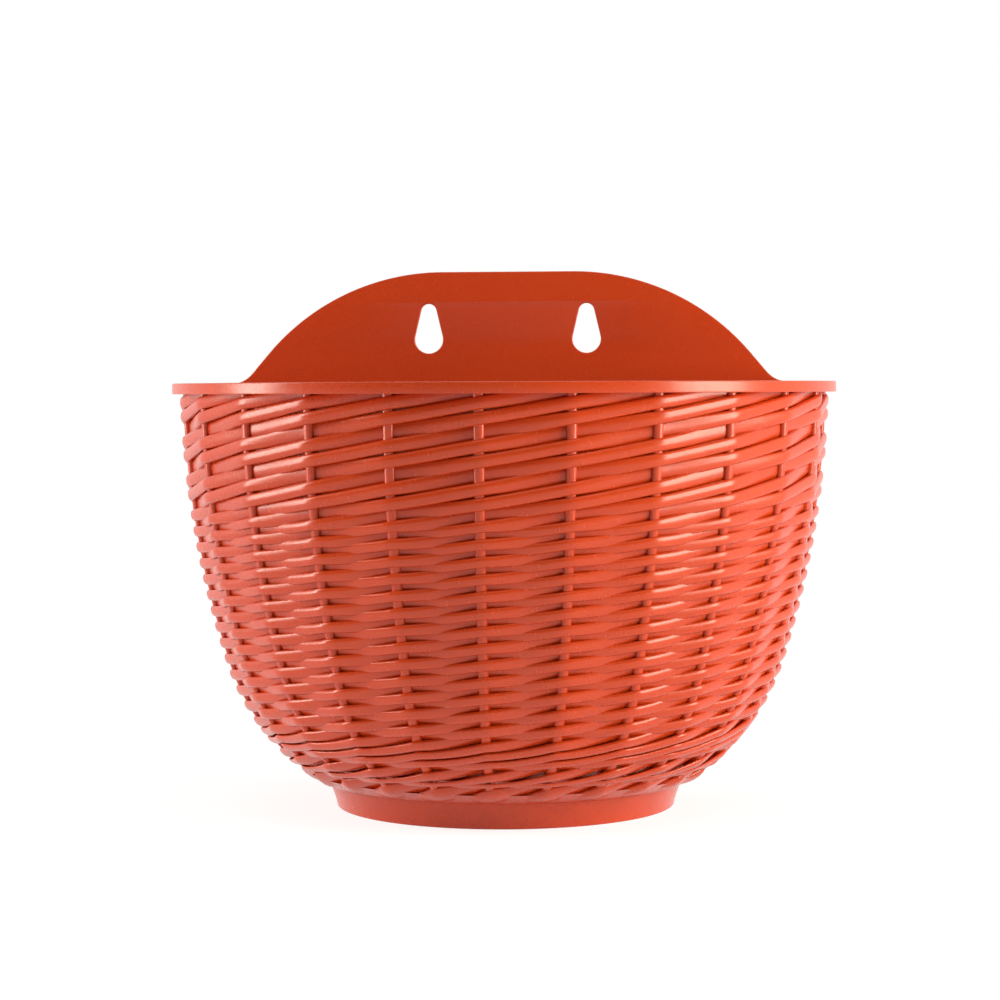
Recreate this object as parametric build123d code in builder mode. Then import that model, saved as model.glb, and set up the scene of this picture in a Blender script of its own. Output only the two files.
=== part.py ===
from build123d import *
import os
from math import acos, asin, cos, degrees, floor, radians, sin, tan

# Half round wall planter, moulded to look like a woven basket. Sizes are in millimetres.
# The front faces -Y, the flat back lies against the wall at the +Y end and the foot stands on z = 0.
# The basket is a turned form cut off flat at the back. Its turning axis is upright, in front of the wall.

# Overall sizes
rim_radius = 137.5
rim_top = 175.0
axis_to_wall = 24.0
plate_top = 222.2

# Rim band
band_height = 4.4
band_edge = 0.8
rim_overhang = 3.2

# Side of the basket, as two arcs along the crests of the strands: the long belly and the tight heel.
# A lean is how far the outward normal points below the horizontal, in degrees.
belly_arc = 395.0
heel_arc = 91.0
rim_lean = 1.44
belly_lean = 17.8

# Moulded wall, and how far the strands stand out from it
wall = 2.5
relief = 3.6
floor_rise = 9.0

# The tub and the stakes follow the side in straight steps
belly_steps = 3
heel_steps = 3

# Foot
foot_radius = 70.0
foot_flare = 3.6
foot_wall = 3.4

# Back panel and hanging plate
plate = 2.5
plate_flat = 56.0
shoulder_arc = 98.0
shoulder_turn = 50.0
root_fillet = 5.0

# Keyholes: a round mouth for the screw head, and above it a narrow seat for the shank
keyhole_pitch = 67.3
mouth_height = 193.5
mouth_radius = 6.0
seat_radius = 3.3
mouth_to_seat = 11.8

# Drain holes in the floor
drain_radius = 4.0
drain_circle = 38.0
drain_count = 3
drain_spread = 120.0

# Stakes
stake_count = 13
stake_pitch = 15.0
stake_width = 3.7
stake_face = 2.0
stake_height = 1.6
stake_seat = 0.1

# Rows of the weave, from the rim down. Where a row meets a stake, F passes in front and B passes behind.
# Row heights are measured upright, along the crests.
rows_top = 169.6
upper_rows = "FFB" * 3
upper_front = 5.35
upper_back = 5.25
middle_rows = "FB" * 13
middle_front = 4.0
middle_back = 2.44
lower_rows = "FFFBFFBF"
lower_heights = (3.9, 3.6, 2.9, 3.0, 3.6, 1.8, 2.3, 6.1)

# Strands. One that leaves a stake climbs a whole row by the next stake to the right.
# The droop is how late it climbs: 0 is a straight climb.
upper_droop = 0.1
lower_droop = 0.6
groove = 0.3
shoulder_slope = 0.5
dive_height = 1.0
strand_seat = 0.42
cross_gap = 0.25
least_width = 0.5
end_gap = 0.1

# Places worked out from the sizes above
depth = rim_radius + axis_to_wall
axis_y = rim_radius - depth / 2
band_bottom = rim_top - band_height
wall_inset = relief
lining_inset = relief + wall
floor_top = floor_rise + wall
belly_centre = (
    rim_radius - rim_overhang - belly_arc * cos(radians(rim_lean)),
    band_bottom + belly_arc * sin(radians(rim_lean)),
)
heel_centre = (
    belly_centre[0] + (belly_arc - heel_arc) * cos(radians(belly_lean)),
    belly_centre[1] - (belly_arc - heel_arc) * sin(radians(belly_lean)),
)
turning_axis = Axis((0, axis_y, 0), (0, 0, 1))
section_plane = Plane(origin=(0, axis_y, 0), x_dir=(1, 0, 0), z_dir=(0, -1, 0))
wall_plane = Plane(origin=(0, depth / 2, 0), x_dir=(1, 0, 0), z_dir=(0, -1, 0))
panel_face = wall_plane.offset(plate)


def lean_at(height, inset):
    """Lean of the side at a height, on the surface that lies `inset` inside the crests."""
    slope = (belly_centre[1] - height) / (belly_arc - inset)
    if slope > sin(radians(belly_lean)):
        slope = (heel_centre[1] - height) / (heel_arc - inset)
    return degrees(asin(slope))


def side_point(lean, inset):
    """Radius and height of the side where it has this lean, `inset` inside the crests."""
    centre, arc = (belly_centre, belly_arc) if lean < belly_lean else (heel_centre, heel_arc)
    run = arc - inset
    return (centre[0] + run * cos(radians(lean)), centre[1] - run * sin(radians(lean)))


def side_leans(high_lean, low_lean):
    """Leans at which the side is cut into straight steps, between two leans."""
    leans = [high_lean + (belly_lean - high_lean) * step / belly_steps for step in range(belly_steps)]
    return leans + [belly_lean + (low_lean - belly_lean) * step / heel_steps for step in range(heel_steps + 1)]


# Places on the side where the foot ends and where the floor meets the wall
foot_top_radius = foot_radius + foot_flare
foot_lean = degrees(acos((foot_top_radius - heel_centre[0]) / (heel_arc - wall_inset)))
foot_top = side_point(foot_lean, wall_inset)
foot_bore = foot_radius - foot_wall
wall_toe = side_point(lean_at(floor_rise, wall_inset), wall_inset)
wall_leans = side_leans(lean_at(band_bottom, wall_inset), foot_lean)
lining_leans = side_leans(lean_at(band_bottom, lining_inset), lean_at(floor_top, lining_inset))
lining_head = side_point(lining_leans[0], lining_inset)

# Tub: the smooth shell inside the weave, with its floor
with BuildPart() as tub:
    with BuildSketch(section_plane):
        with BuildLine():
            Polyline(
                *[side_point(lean, wall_inset) for lean in wall_leans],
                wall_toe,
                (0, floor_rise),
                (0, floor_top),
                *[side_point(lean, lining_inset) for lean in reversed(lining_leans)],
                close=True,
            )
        make_face()
    revolve(axis=turning_axis)
    with Locations((0, axis_y, floor_top)):
        with PolarLocations(drain_circle, drain_count, -90 - drain_spread / 2, drain_spread, endpoint=True):
            Hole(drain_radius)
    split(bisect_by=panel_face, keep=Keep.TOP)
tub.part.label = "tub"

# Foot ring: flares up from the ground until it meets the tub's heel
with BuildPart() as foot_ring:
    with BuildSketch(section_plane):
        with BuildLine():
            Polyline(foot_top, wall_toe, (foot_bore, floor_rise), (foot_bore, 0), (foot_radius, 0), close=True)
        make_face()
    revolve(axis=turning_axis)
    split(bisect_by=panel_face, keep=Keep.TOP)
foot_ring.part.label = "foot_ring"

# Rim band: a flange that overhangs the weave and is flush with the tub's lining
with BuildPart() as rim_band:
    with BuildSketch(section_plane):
        with BuildLine():
            Polyline(
                (lining_head[0], band_bottom),
                (rim_radius, band_bottom),
                (rim_radius, rim_top),
                (lining_head[0], rim_top),
                close=True,
            )
        make_face()
    revolve(axis=turning_axis)
    outer_edges = rim_band.edges().filter_by(GeomType.CIRCLE).sort_by(SortBy.RADIUS)[-2:]
    chamfer(outer_edges, band_edge)
    split(bisect_by=panel_face, keep=Keep.TOP)
rim_band.part.label = "rim_band"

# Back panel: the slice of the whole turned form behind the tub, with the arched plate above the rim
shoulder_centre = (plate_flat / 2, plate_top - shoulder_arc)
shoulder_end = (
    shoulder_centre[0] + shoulder_arc * sin(radians(shoulder_turn)),
    shoulder_centre[1] + shoulder_arc * cos(radians(shoulder_turn)),
)
flank_foot = (shoulder_end[0] + (shoulder_end[1] - rim_top) / tan(radians(shoulder_turn)), rim_top)
panel_toe_lean = lean_at(foot_top[1], 0)

with BuildPart() as back_plate:
    with BuildSketch(section_plane):
        with BuildLine():
            Polyline(
                *[side_point(lean, 0) for lean in side_leans(rim_lean, panel_toe_lean)],
                foot_top,
                (foot_radius, 0),
                (0, 0),
                (0, rim_top),
                (rim_radius, rim_top),
                (rim_radius, band_bottom),
                close=True,
            )
        make_face()
    revolve(axis=turning_axis)
    split(bisect_by=panel_face, keep=Keep.BOTTOM)
    split(bisect_by=wall_plane, keep=Keep.TOP)
    with BuildSketch(panel_face):
        with BuildLine():
            Line((0, plate_top), (plate_flat / 2, plate_top))
            CenterArc(shoulder_centre, shoulder_arc, 90, -shoulder_turn)
            Polyline(shoulder_end, flank_foot, (flank_foot[0], band_bottom), (0, band_bottom))
            mirror(about=Plane.YZ)
        make_face()
    extrude(amount=-plate)
    root_edges = back_plate.edges().filter_by(Axis.Y).filter_by_position(Axis.Z, rim_top, rim_top)
    fillet(root_edges.group_by(Axis.X)[0] + root_edges.group_by(Axis.X)[-1], root_fillet)
    for side in (-1, 1):
        with BuildSketch(panel_face):
            with Locations((side * keyhole_pitch / 2, mouth_height)):
                Circle(mouth_radius)
            with Locations((side * keyhole_pitch / 2, mouth_height + mouth_to_seat)):
                Circle(seat_radius)
            make_hull()
        extrude(amount=-plate, mode=Mode.SUBTRACT)
back_plate.part.label = "back_plate"

# Rows: the heights that part one row from the next, and the side of the stakes that each row passes
rows = upper_rows + middle_rows + lower_rows
row_heights = [upper_front if row == "F" else upper_back for row in upper_rows]
row_heights += [middle_front if row == "F" else middle_back for row in middle_rows]
row_heights += lower_heights
row_edges = [rows_top]
for row_height in row_heights:
    row_edges.append(row_edges[-1] - row_height)
weave_bottom = row_edges[-1]
first_middle = len(upper_rows)
first_lower = first_middle + len(middle_rows)


def passes_front(row):
    """Whether a row passes in front of the stakes. The row under the rim band and those below the weave don't."""
    return 0 <= row < len(rows) and rows[row] == "F"


def row_edge(edge, climb):
    """Height of the groove that starts at this row edge on a stake and has climbed part of the way to the next."""
    def height(index):
        if index < 0:
            return rows_top - index * upper_back
        return row_edges[min(index, len(rows))]
    droop = upper_droop if edge <= first_middle else lower_droop
    share = climb - droop * climb * (1 - climb)
    return height(edge) + share * (height(edge - 1) - height(edge))


def along_wall(turn):
    """Level direction along the side, at a turn round the axis from the front towards +X."""
    return Vector(cos(radians(turn)), sin(radians(turn)), 0)


def out_of_wall(turn, lean=0.0):
    """Direction straight out of the side at this turn, where the side has this lean."""
    level = Vector(sin(radians(turn)), -cos(radians(turn)), 0)
    return level * cos(radians(lean)) - Vector(0, 0, 1) * sin(radians(lean))


def draw_section(place, points):
    """Draws a closed face with these corners on a plane, for a loft."""
    with BuildSketch(place):
        with BuildLine():
            Polyline(*points, close=True)
        make_face()


def flat_faced_solid(sections):
    """A solid with flat faces through closed sections. Each one is a plane and the corners on it, in order."""
    loops = [[place.from_local_coords(Vector(*corner)) for corner in corners] for place, corners in sections]
    faces = [Face(Wire.make_polygon(loops[0])), Face(Wire.make_polygon(loops[-1]))]
    for near, far in zip(loops, loops[1:]):
        for index in range(len(near)):
            after = (index + 1) % len(near)
            faces.append(Face(Wire.make_polygon([near[index], near[after], far[after], far[index]])))
    return Solid(Shell(faces))


def stake_rod(turn):
    """An upright rod with a flat face and sloping sides, that follows the tub's wall from the rim to the heel."""
    leans = [lean_at(band_bottom - end_gap, 0)] + wall_leans[1:-1] + [lean_at(weave_bottom, 0)]
    corners = (
        (-stake_width / 2, stake_seat),
        (-stake_face / 2, stake_height),
        (stake_face / 2, stake_height),
        (stake_width / 2, stake_seat),
    )
    sections = []
    for lean in leans:
        radius, height = side_point(lean, wall_inset)
        on_wall = Vector(0, axis_y, height) + out_of_wall(turn) * radius
        down = along_wall(turn).cross(out_of_wall(turn, lean))
        sections.append((Plane(origin=on_wall, x_dir=along_wall(turn), z_dir=down), corners))
    return flat_faced_solid(sections)


def strand_section(first_row, place, base, crest, middle):
    """Plane and corners of a strand cut across: a base, and a narrower crest further out of the wall.

    All the sections of one stretch are parallel to the one at its middle, so that its faces are flat."""
    stake = floor(place)
    row = first_row - stake
    high = min(row_edge(row, place - stake) - groove / 2, band_bottom - end_gap)
    low = min(row_edge(row + 1, place - stake) + groove / 2, high - least_width)
    high_lean = lean_at(high, 0)
    low_lean = lean_at(low, 0)
    high_point = Vector(*side_point(high_lean, wall_inset - base))
    low_point = Vector(*side_point(low_lean, wall_inset - base))
    width = (high_point - low_point).length
    radius, height = side_point((high_lean + low_lean) / 2, wall_inset - base)
    middle_turn = (middle - (stake_count - 1) / 2) * stake_pitch
    middle_stake = floor(middle)
    middle_row = first_row - middle_stake
    climbed = middle - middle_stake
    middle_lean = lean_at((row_edge(middle_row, climbed) + row_edge(middle_row + 1, climbed)) / 2, 0)
    aside = radians((place - middle) * stake_pitch)
    centre = (
        Vector(0, axis_y, height)
        + along_wall(middle_turn) * radius * sin(aside)
        + out_of_wall(middle_turn) * radius * cos(aside)
    )
    rise = (crest - base) / cos(aside)
    shoulder = rise * shoulder_slope
    corners = ((0, -width / 2), (rise, shoulder - width / 2), (rise, width / 2 - shoulder), (0, width / 2))
    cut = Plane(origin=centre, x_dir=out_of_wall(middle_turn, middle_lean), z_dir=along_wall(middle_turn))
    return cut, corners


def strand_float(low_row, crossings, start):
    """The stretch of a strand from behind the stake `start`, across the front of the next ones, to behind another.

    low_row is the row in which it crosses the first of them. Places count in stakes from the leftmost one."""
    top_height = row_edges[max(low_row - crossings, 0)]
    top_radius = side_point(lean_at(top_height, 0), 0)[0]
    behind_axis = degrees(asin((axis_to_wall - plate - end_gap) / top_radius))
    right_end = (stake_count - 1) / 2 + (90 + behind_axis) / stake_pitch
    left_end = stake_count - 1 - right_end
    wall_radius = side_point(lean_at(row_edges[low_row + 1], 0), wall_inset)[0]
    flank = (stake_width / 2 + end_gap) / (wall_radius * radians(stake_pitch))
    finish = start + 1 + crossings
    stops = [(start + flank, strand_seat, dive_height)]
    stops += [(stake, stake_height + cross_gap, relief) for stake in range(start + 1, finish)]
    stops.append((finish - flank, strand_seat, dive_height))
    kept = [stop for stop in stops if left_end < stop[0] < right_end]
    for left, right in zip(stops, stops[1:]):
        for end in (left_end, right_end):
            if left[0] < end < right[0]:
                share = (end - left[0]) / (right[0] - left[0])
                kept.append(tuple(a + share * (b - a) for a, b in zip(left, right)))
    kept.sort()
    if len(kept) < 2:
        return None
    first_row = low_row + start + 1
    middle = (kept[0][0] + kept[-1][0]) / 2
    return flat_faced_solid([strand_section(first_row, *stop, middle) for stop in kept])


def strands(first, after):
    """All the strands that cross the stakes in the rows from `first` up to, but not including, `after`."""
    pieces = []
    for low_row in range(first, after):
        if passes_front(low_row) and not passes_front(low_row + 1):
            crossings = 1
            while passes_front(low_row - crossings):
                crossings += 1
            for start in range(-crossings - 2, stake_count + 1):
                piece = strand_float(low_row, crossings, start)
                if piece is not None:
                    pieces.append(piece)
    return pieces


# Stakes, numbered from the left
stakes = []
for index in range(stake_count):
    stake = stake_rod((index - (stake_count - 1) / 2) * stake_pitch)
    stake.label = f"stake_{index + 1:02d}"
    stakes.append(stake)

# Strands, one node for each band of the weave
with BuildPart() as upper_weave:
    add(strands(0, first_middle))
upper_weave.part.label = "upper_weave"

with BuildPart() as middle_weave:
    add(strands(first_middle, first_lower))
middle_weave.part.label = "middle_weave"

with BuildPart() as lower_weave:
    add(strands(first_lower, len(rows)))
lower_weave.part.label = "lower_weave"

os.makedirs("parts", exist_ok=True)
export_step(tub.part, "parts/tub.step")
export_step(foot_ring.part, "parts/foot_ring.step")
export_step(rim_band.part, "parts/rim_band.step")
export_step(back_plate.part, "parts/back_plate.step")
for stake in stakes:
    export_step(stake, f"parts/{stake.label}.step")
export_step(upper_weave.part, "parts/upper_weave.step")
export_step(middle_weave.part, "parts/middle_weave.step")
export_step(lower_weave.part, "parts/lower_weave.step")
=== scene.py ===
"""Looks of a half-round wall planter, moulded as a woven basket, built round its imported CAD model."""

from math import acos, asin, cos, floor, pi, radians, sin, tan

import bmesh
import bpy
from bpy.props import FloatProperty, FloatVectorProperty, IntProperty, PointerProperty
from mathutils import Matrix, Vector


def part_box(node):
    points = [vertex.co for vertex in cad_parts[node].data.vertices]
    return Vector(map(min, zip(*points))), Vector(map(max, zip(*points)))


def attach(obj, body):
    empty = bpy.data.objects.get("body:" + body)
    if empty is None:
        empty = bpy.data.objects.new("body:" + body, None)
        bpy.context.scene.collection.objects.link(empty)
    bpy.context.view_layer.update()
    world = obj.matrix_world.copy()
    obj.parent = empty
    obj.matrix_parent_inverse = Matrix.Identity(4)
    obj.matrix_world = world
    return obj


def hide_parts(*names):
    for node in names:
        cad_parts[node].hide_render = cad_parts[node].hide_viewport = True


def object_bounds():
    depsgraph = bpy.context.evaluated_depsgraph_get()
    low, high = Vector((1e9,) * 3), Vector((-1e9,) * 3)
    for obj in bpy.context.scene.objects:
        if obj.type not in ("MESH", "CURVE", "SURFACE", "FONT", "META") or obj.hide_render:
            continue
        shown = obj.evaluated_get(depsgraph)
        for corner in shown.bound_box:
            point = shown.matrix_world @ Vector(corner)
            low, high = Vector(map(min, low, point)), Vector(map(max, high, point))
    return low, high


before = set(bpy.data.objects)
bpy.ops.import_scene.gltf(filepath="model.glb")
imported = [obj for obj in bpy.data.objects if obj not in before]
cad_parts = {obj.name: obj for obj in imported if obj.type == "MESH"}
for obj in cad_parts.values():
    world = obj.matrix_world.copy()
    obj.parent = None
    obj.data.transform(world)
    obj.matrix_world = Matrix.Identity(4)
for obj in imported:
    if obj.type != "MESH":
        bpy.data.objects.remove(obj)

bl_info = {
    "name": "Woven Wall Planter",
    "version": (1, 0, 0),
    "blender": (4, 5, 0),
    "location": "3D View > Sidebar > Planter",
    "description": "Builds the looks of a half-round wall planter moulded as a woven basket",
    "category": "Add Mesh",
}

cad_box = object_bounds()

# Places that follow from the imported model
band_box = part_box("rim_band")
plate_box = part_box("back_plate")

STAKE_COUNT = 13
STAKE_PITCH = radians(15)
MIDDLE_STAKE = (STAKE_COUNT - 1) / 2

# Rows of the weave from the rim down: F passes in front of a stake and B behind it
UPPER_ROWS = "FFB" * 3
MIDDLE_ROWS = "FB" * 13
LOWER_ROWS = "FFFBFFBF"
ROWS = UPPER_ROWS + MIDDLE_ROWS + LOWER_ROWS
FIRST_MIDDLE = len(UPPER_ROWS)
FIRST_LOWER = FIRST_MIDDLE + len(MIDDLE_ROWS)

# Heights of the lower rows on a stake, which differ from row to row
LOWER_HEIGHTS = (0.0039, 0.0036, 0.0029, 0.0030, 0.0036, 0.0018, 0.0023, 0.0061)

# Fine sizes of the strands and stakes
STRAND_END = 0.0015  # strands end this far in front of the wall face
STRAND_COVER = 0.0022  # the rim's top face lies this far over the highest strand
STRAND_TAIL = 0.001  # height left to a strand that runs up into the rim
THINNEST_STRAND = 0.0006
TOP_OF_SIDE = 0.17  # the side's radius is taken no higher than this
SMOOTH_SHARE = 0.45  # share of a strand's dive that eases in and out
# Painted shade: the weave's colour is darkened in the grooves, fullest at this depth under the crests
GROOVE_SHADE_DEPTH = 0.005  # depth under the crests at which a groove is darkest
STAKE_SQUARENESS = 0.9
STAKE_LIFT = 0.0005  # foot of a stake above the lowest row's underside
STAKE_STEPS = 80

# Fine sizes of the smooth forms
LESSER_EDGE = 0.6  # share of the rounding on an edge that is hardly seen
FLOOR_CHAMFER = 0.0005
FILLET_REACH = 1.2  # how much further the floor's fillet runs along the floor
FLARE_POWER = 1.3  # 1 flares the foot evenly, more flares it late
FOOT_GAP = 0.0002  # top of the flare to the underside of the lowest row
FOOT_LINING = 0.005  # crests of the lowest strands to the foot's inside
PLATE_FOOT_DEPTH = 0.0036  # crests of the weave to the corner between the plate's side and its foot
PLATE_RIM_EDGE = 0.0004
PLATE_BAND_STEP = 0.0003
PLATE_LEDGE = 0.03  # length of the rim's top that the root's rounding may use
CUTTER_DEPTH = 0.02
DRAIN_TURNS = (-pi / 3, 0.0, pi / 3)

# How finely the smooth forms are drawn
TURN_STEPS = 288
RIM_TURN_STEPS = 360
SIDE_STEPS = 40
PLATE_SIDE_STEPS = 48
SHOULDER_STEPS = 32
ROOT_STEPS = 8
CORNER_STEPS = 5
FILLET_STEPS = 6
FLARE_STEPS = 8
COLLAR_STEPS = 6
DRAIN_SIDES = 48
MOUTH_STEPS = 48
SEAT_STEPS = 24
EDGE_STEPS = 3
FORM_ANGLE = radians(40)
EDGE_ANGLE = radians(35)
MERGE = 1e-6
CUT_TOLERANCE = 1e-7
NEARLY_STRAIGHT = 0.01
LONGEST_ROUNDING = 0.49  # share of a straight that the rounding at one end may use

# Moulded plastic, and the painted shade in the weave's grooves. Scales are in waves per metre.
STREAK_SCALES = (30.0, 30.0, 9.0)
STREAK_DETAIL, STREAK_ROUGHNESS = 4.0, 0.55
STREAK_SHARE, STREAK_START = 0.5, -0.06
CLOUD_SCALE, CLOUD_DETAIL = 11.0, 2.0
CLOUD_SHARE, CLOUD_START = 0.35, 0.1
PEEL_SCALE, PEEL_DETAIL = 1400.0, 2.0
SCUFF_SCALE, SCUFF_DETAIL, SCUFF_ROUGHNESS = 260.0, 5.0, 0.7
# Painted shade in the grooves: share of the depth that darkens the colour, and its limit
GROOVE_SHADE_SHARE, GROOVE_SHADE_LIMIT = 0.4, 0.5
SCUFF_GLOSS, CLOUD_GLOSS = 0.16, 0.08
BUMP_STRENGTH, BUMP_DISTANCE, SCUFF_BUMP = 0.12, 0.00012, 0.6
PLASTIC_IOR = 1.5

# Studio: the floor fades to white away from the planter
FLOOR_HALF_WIDTH = 6.0
FADE_START, FADE_RATE, FADE_EASE = 0.16, 5, 0.1
FLOOR_NEAR, FLOOR_GLOW = 0.34, 0.8
WHITE = (1.0, 1.0, 1.0, 1.0)
SKY_LIGHT = 0.26
SKY_SLOPE, SKY_LEVEL, SKY_DARKEST = 2.5, 0.2, 0.03  # brightness of the reflected sky from front to back

# Lamps, each with its power, size, place and tint
LAMP_TARGET = (0.0, 0.0, 0.11)
LAMPS = (
    ("left_softbox", 9.6, (0.3, 0.9), (-0.96, -0.06, 0.3), (1.0, 0.96, 0.86)),
    ("right_softbox", 13.2, (0.45, 0.9), (0.93, -0.23, 0.3), (1.0, 1.0, 0.84)),
    ("top_softbox", 3.0, (1.0, 0.6), (0.0, -0.35, 1.1), (1.0, 0.96, 0.9)),
)

CAMERA_TURN = radians(4.1)
CAMERA_ROLL = radians(-0.24)
CAMERA_DISTANCE = 1.094
CAMERA_HEIGHT = 0.172
CAMERA_SHIFT = (-0.0041, -0.1105)
CAMERA_CLIP = 0.01
SENSOR_WIDTH = 36.0
LENS_SHARE = 2.621  # focal length over the sensor's width


# Sizes and colours that a user would change


def length(name, default, description):
    return FloatProperty(
        name=name, description=description, default=default, min=0.0, unit="LENGTH", precision=5
    )


def angle(name, default, description):
    return FloatProperty(
        name=name, description=description, default=default, unit="ROTATION", subtype="ANGLE"
    )


def share(name, default, description):
    return FloatProperty(name=name, description=description, default=default, min=0.0, soft_max=1.0)


def number(name, default, description):
    return FloatProperty(name=name, description=description, default=default)


def count(name, default, description):
    return IntProperty(name=name, description=description, default=default)


def colour(name, default, description):
    return FloatVectorProperty(
        name=name, description=description, default=default, size=3, subtype="COLOR", min=0.0, max=1.0
    )


class PLANTER_PG_shell(bpy.types.PropertyGroup):
    """Sizes of the moulded basket, its rim, plate and foot"""

    rim_radius: length("Rim Radius", band_box[1][0], "Turning axis to the outside of the rim band")
    rim_top: length("Rim Top", band_box[1][2], "Height of the rim band's top face")
    band_height: length("Band Height", band_box[1][2] - band_box[0][2], "Height of the rim band")
    band_edge: length("Band Edge", 0.0006, "Rounding of the rim band's edges")
    rim_overhang: length("Rim Overhang", 0.0032, "How far the rim stands out over the weave")
    belly_arc: length("Belly Arc", 0.395, "Radius of the long upper part of the side")
    heel_arc: length("Heel Arc", 0.091, "Radius of the tight lower part of the side")
    rim_lean: angle("Rim Lean", radians(1.44), "Lean of the side under the rim")
    belly_lean: angle("Belly Lean", radians(17.8), "Lean of the side where the belly meets the heel")
    wall_depth: length("Wall Depth", 0.0037, "Crests of the weave to the wall behind them")
    lining_depth: length("Lining Depth", 0.0061, "Crests of the weave to the lining")
    floor_height: length("Floor Height", 0.009, "Underside of the floor above the ground")
    floor_wall: length("Floor Thickness", 0.0025, "Thickness of the floor")
    floor_fillet: length("Floor Fillet", 0.003, "Rounding between the floor and the lining")
    foot_radius: length("Foot Radius", 0.070, "Outside of the foot on the ground")
    foot_flare: length("Foot Flare", 0.0036, "How much wider the foot is at its top")
    foot_wall: length("Foot Wall", 0.0034, "Thickness of the foot")
    foot_edge: length("Foot Edge", 0.0007, "Rounding of the foot's lower edges")
    collar_height: length("Collar Height", 0.0042, "Height of the strip between the foot and the strands")
    collar_depth: length("Collar Depth", 0.0009, "Crests of the lowest strands to the strip")
    drain_radius: length("Drain Radius", 0.004, "Radius of the drain holes")
    drain_circle: length("Drain Circle", 0.038, "Radius of the circle that the drain holes lie on")
    plate_depth: length("Plate Thickness", plate_box[1][1] - plate_box[0][1], "Thickness of the back panel")
    plate_edge: length("Plate Edge", 0.0005, "Rounding of the back panel's edges")
    plate_flat: length("Plate Flat", 0.056, "Width of the level top of the plate")
    shoulder_arc: length("Shoulder Arc", 0.098, "Radius of the plate's shoulders")
    shoulder_turn: angle("Shoulder Turn", radians(50), "How far each shoulder turns down")
    root_fillet: length("Root Fillet", 0.012, "Rounding where the plate's flanks meet the rim")
    keyhole_pitch: length("Keyhole Pitch", 0.0673, "Distance between the keyholes")
    mouth_height: length("Mouth Height", 0.1935, "Height of the keyholes' round mouths")
    mouth_radius: length("Mouth Radius", 0.006, "Radius of a keyhole's mouth")
    seat_radius: length("Seat Radius", 0.0033, "Radius of a keyhole's narrow seat")
    mouth_to_seat: length("Mouth to Seat", 0.0118, "Mouth centre to seat centre")


class PLANTER_PG_weave(bpy.types.PropertyGroup):
    """Sizes of the stakes and strands"""

    rows_top: length("Rows Top", 0.1696, "Height at which the first row starts on a stake")
    upper_front: length("Upper Front Row", 0.00535, "Height of an upper row in front of a stake")
    upper_back: length("Upper Back Row", 0.00525, "Height of an upper row behind a stake")
    upper_last: length("Upper Last Row", 0.0038, "Height of the last upper row, behind a stake")
    middle_front: length("Middle Front Row", 0.00405, "Height of a middle row in front of a stake")
    middle_back: length("Middle Back Row", 0.0025, "Height of a middle row behind a stake")
    upper_climb: number("Upper Climb", 1.08, "1 climbs evenly, more climbs late")
    lower_climb: number("Lower Climb", 1.8, "1 climbs evenly, more climbs late")
    dive: length("Dive", 0.0025, "How far a strand's crest lies below the others behind a stake")
    spread: length("Strand Spread", 0.00035, "How far a strand's edges reach under its neighbours")
    deep_spread: length("Deep Spread", 0.0011, "How much further they reach where the strand dives")
    rise: length("Rise", 0.0004, "How far a strand bulges out in front of a stake")
    roundness: share("Strand Depth", 0.68, "Depth of a strand as a share of its width")
    squareness: share("Strand Corners", 0.84, "1 is an ellipse, less is squarer")
    straightness: share("Straightness", 0.9, "How straight the strands run between two stakes")
    groove: length("Groove", 0.0002, "Gap between two strands")
    pair_gap: length("Pair Gap", 0.0010, "Gap between two strands in front of the same stake")
    bay_steps: count("Steps in a Bay", 10, "Rings of a strand from one stake to the next")
    strand_sides: count("Strand Sides", 14, "Sides of a strand's section")
    stake_width: length("Stake Width", 0.0041, "Width of a stake")
    stake_depth: length("Stake Depth", 0.0032, "Depth of a stake")
    stake_sink: length("Stake Sink", 0.0009, "Crests of the strands to the crest of a stake")


class PLANTER_PG_finish(bpy.types.PropertyGroup):
    """Colours and finish of the moulding and the studio"""

    terracotta: colour("Terracotta", (0.61, 0.052, 0.006), "Colour of the moulding")
    # Deep tone: the colour of the moulding's random darker clouds, and of the painted shade in the weave's
    # grooves
    deep: colour("Deep Tone and Groove Shade", (0.40, 0.022, 0.002), "Colour deep in the weave")
    worn: colour("Flow Mark", (0.66, 0.072, 0.012), "Colour of the faint streaks left by the moulding")
    gloss: share("Roughness", 0.26, "Roughness of the moulding")
    floor: colour("Floor", (0.9, 0.9, 0.9), "Colour of the studio floor")


class PLANTER_PG_all(bpy.types.PropertyGroup):
    """Everything that can be set for the planter"""

    shell: PointerProperty(type=PLANTER_PG_shell)
    weave: PointerProperty(type=PLANTER_PG_weave)
    finish: PointerProperty(type=PLANTER_PG_finish)


# Node maths


class Value:
    """A node's output that takes part in sums, so that node maths reads as plain expressions."""

    def __init__(self, graph, socket):
        self.graph = graph
        self.socket = socket

    def __add__(self, other):
        return self.graph.maths("ADD", self, other)

    def __radd__(self, other):
        return self.graph.maths("ADD", other, self)

    def __sub__(self, other):
        return self.graph.maths("SUBTRACT", self, other)

    def __rsub__(self, other):
        return self.graph.maths("SUBTRACT", other, self)

    def __mul__(self, other):
        return self.graph.maths("MULTIPLY", self, other)

    def __truediv__(self, other):
        return self.graph.maths("DIVIDE", self, other)

    def __pow__(self, other):
        return self.graph.maths("POWER", self, other)

    def __gt__(self, other):
        return self.graph.maths("GREATER_THAN", self, other)


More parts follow.
